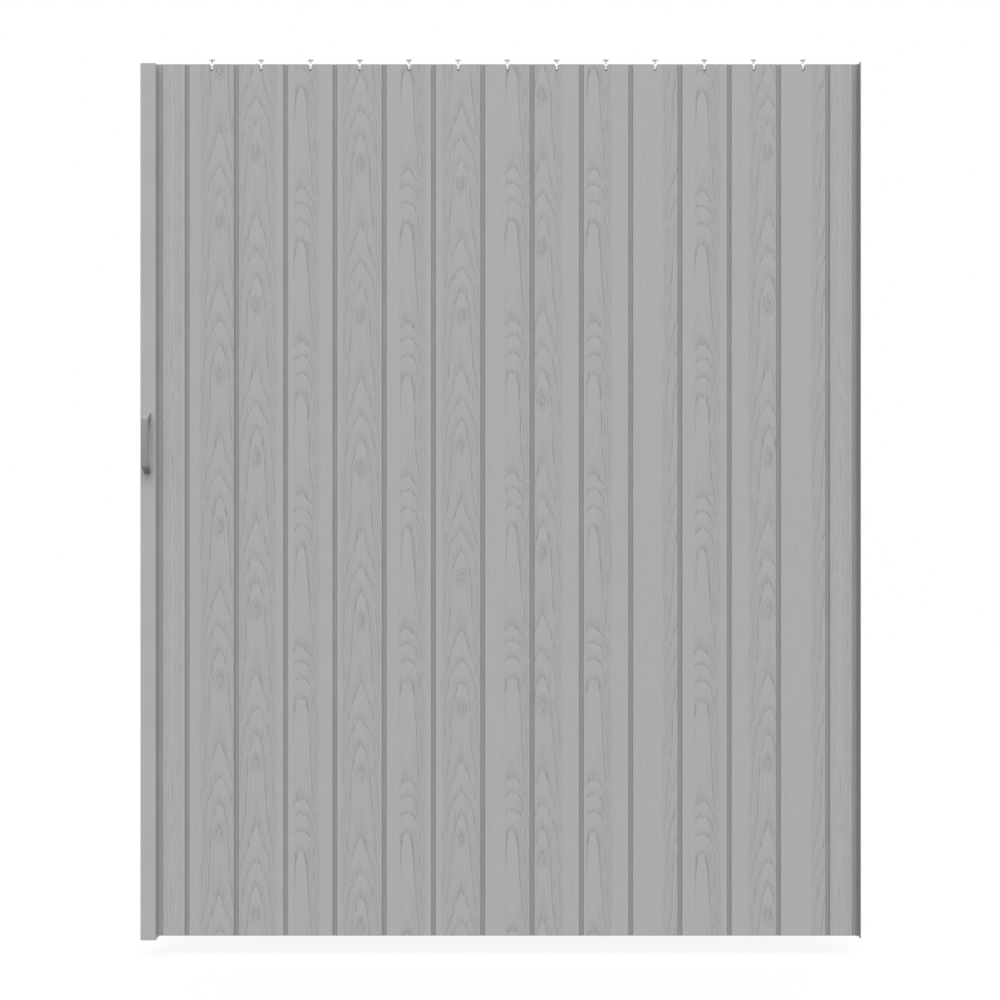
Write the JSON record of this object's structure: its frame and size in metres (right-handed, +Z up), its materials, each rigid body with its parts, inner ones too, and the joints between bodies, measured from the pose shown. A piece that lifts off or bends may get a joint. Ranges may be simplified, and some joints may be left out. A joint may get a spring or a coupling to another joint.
{
  "type": "accordion door",
  "caption": "Accordion folding door of hollow grained plastic panels on full-height hinge strips, with a lead post, pull handles, top hangers and a wall jamb strip, drawn out flat",
  "frame": {"origin": "on the wall face of the jamb plate, at the middle of its depth, level with the foot of the panels", "axes": "+X out of the jamb plate into the wall, +Y from the front towards the back, +Z up"},
  "size_m": [1.6461, 0.097, 2.0187],
  "materials": {
    "panel_plastic": "satin extruded plastic with a light embossed wood grain",
    "hinge_vinyl": "soft flexible vinyl, slightly darker than the panels",
    "post_plastic": "smooth satin extruded plastic in the panels' colour",
    "jamb_plastic": "smooth satin extruded plastic in the hinge strips' darker grey",
    "handle_plastic": "smooth moulded plastic with a soft sheen",
    "hanger_nylon": "white moulded nylon"
  },
  "bodies": {
    "root": {"panel_01": "panel_plastic", "panel_02": "panel_plastic", "panel_03": "panel_plastic", "panel_04": "panel_plastic", "panel_05": "panel_plastic", "panel_06": "panel_plastic", "panel_07": "panel_plastic", "panel_08": "panel_plastic", "panel_09": "panel_plastic", "panel_10": "panel_plastic", "panel_11": "panel_plastic", "panel_12": "panel_plastic", "panel_13": "panel_plastic", "hangers": "hanger_nylon", "hinge_strip_01": "hinge_vinyl", "hinge_strip_02": "hinge_vinyl", "hinge_strip_03": "hinge_vinyl", "hinge_strip_04": "hinge_vinyl", "hinge_strip_05": "hinge_vinyl", "hinge_strip_06": "hinge_vinyl", "hinge_strip_07": "hinge_vinyl", "hinge_strip_08": "hinge_vinyl", "hinge_strip_09": "hinge_vinyl", "hinge_strip_10": "hinge_vinyl", "hinge_strip_11": "hinge_vinyl", "hinge_strip_12": "hinge_vinyl", "hinge_strip_13": "hinge_vinyl", "hinge_strip_14": "hinge_vinyl", "lead_hinge_strip": "hinge_vinyl", "jamb_hinge_strip": "hinge_vinyl", "lead_half_panel": "panel_plastic", "jamb_half_panel": "panel_plastic", "lead_post": "post_plastic", "jamb_plate": "jamb_plastic", "front_handle": "handle_plastic", "back_handle": "handle_plastic"}
  },
  "joints": []
}
